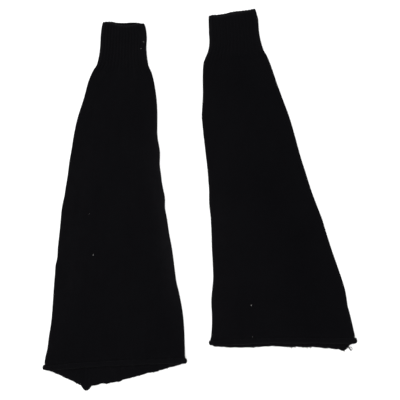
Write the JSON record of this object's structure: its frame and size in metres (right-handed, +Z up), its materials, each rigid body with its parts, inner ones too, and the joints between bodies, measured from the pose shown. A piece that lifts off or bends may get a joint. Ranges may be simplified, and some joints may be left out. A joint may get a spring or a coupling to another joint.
{
  "type": "pair of leg warmers",
  "caption": "Pair of black knitted leg warmers laid flat side by side, each a short ribbed cuff on a long flared tube with a rolled, pointed hem.",
  "frame": {"origin": "on the surface that the pair lies on, under the middle of its bounding box", "axes": "+Z up off the surface, +Y from the hems towards the cuffs, +X to the viewer's right"},
  "size_m": [0.5805, 0.7052, 0.0157],
  "materials": {
    "plain_knit": "matt black plain knitting, finely ridged along its length",
    "rib_knit": "matt black two by two rib knitting"
  },
  "bodies": {
    "root": {"left_cuff": "rib_knit", "left_body": "plain_knit", "right_cuff": "rib_knit", "right_body": "plain_knit"}
  },
  "joints": []
}
